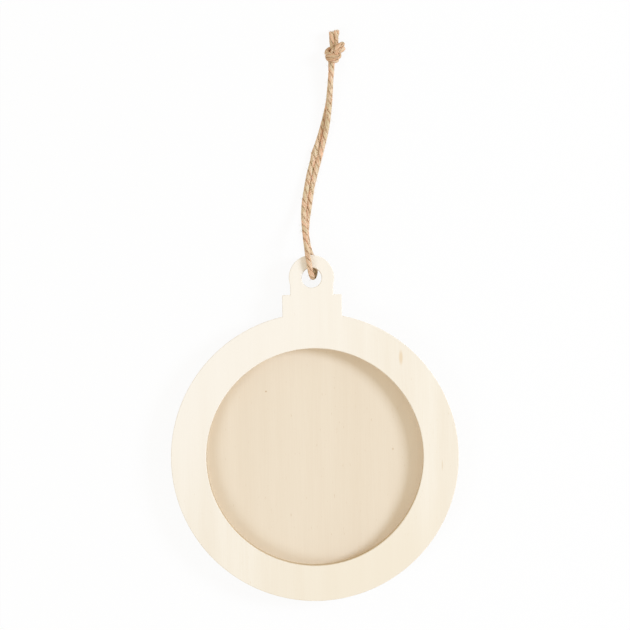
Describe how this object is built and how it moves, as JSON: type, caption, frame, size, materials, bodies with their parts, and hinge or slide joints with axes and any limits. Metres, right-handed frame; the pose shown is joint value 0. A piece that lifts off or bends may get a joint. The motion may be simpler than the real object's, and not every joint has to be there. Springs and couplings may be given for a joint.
{
  "type": "picture frame ornament",
  "caption": "Round plain wooden picture frame ornament with a recessed window, a square cap with a hanging ring, and a knotted loop of jute twine to hang it by.",
  "frame": {"origin": "middle of the picture window, on the back face of the backing panel that the ornament lies on", "axes": "+Z out of the front, +Y up through the cap towards the hanging ring, +X to the right seen from the front"},
  "size_m": [0.1, 0.1989, 0.0099],
  "materials": {
    "basswood_front": "bare basswood plywood, sanded, no stain or varnish",
    "plywood_backing": "bare plywood, slightly browner than the front",
    "jute_twine": "natural two-ply jute twine, matt and slightly hairy"
  },
  "bodies": {
    "root": {"front_frame": "basswood_front", "backing_panel": "plywood_backing", "twine": "jute_twine", "knot": "jute_twine"}
  },
  "joints": []
}
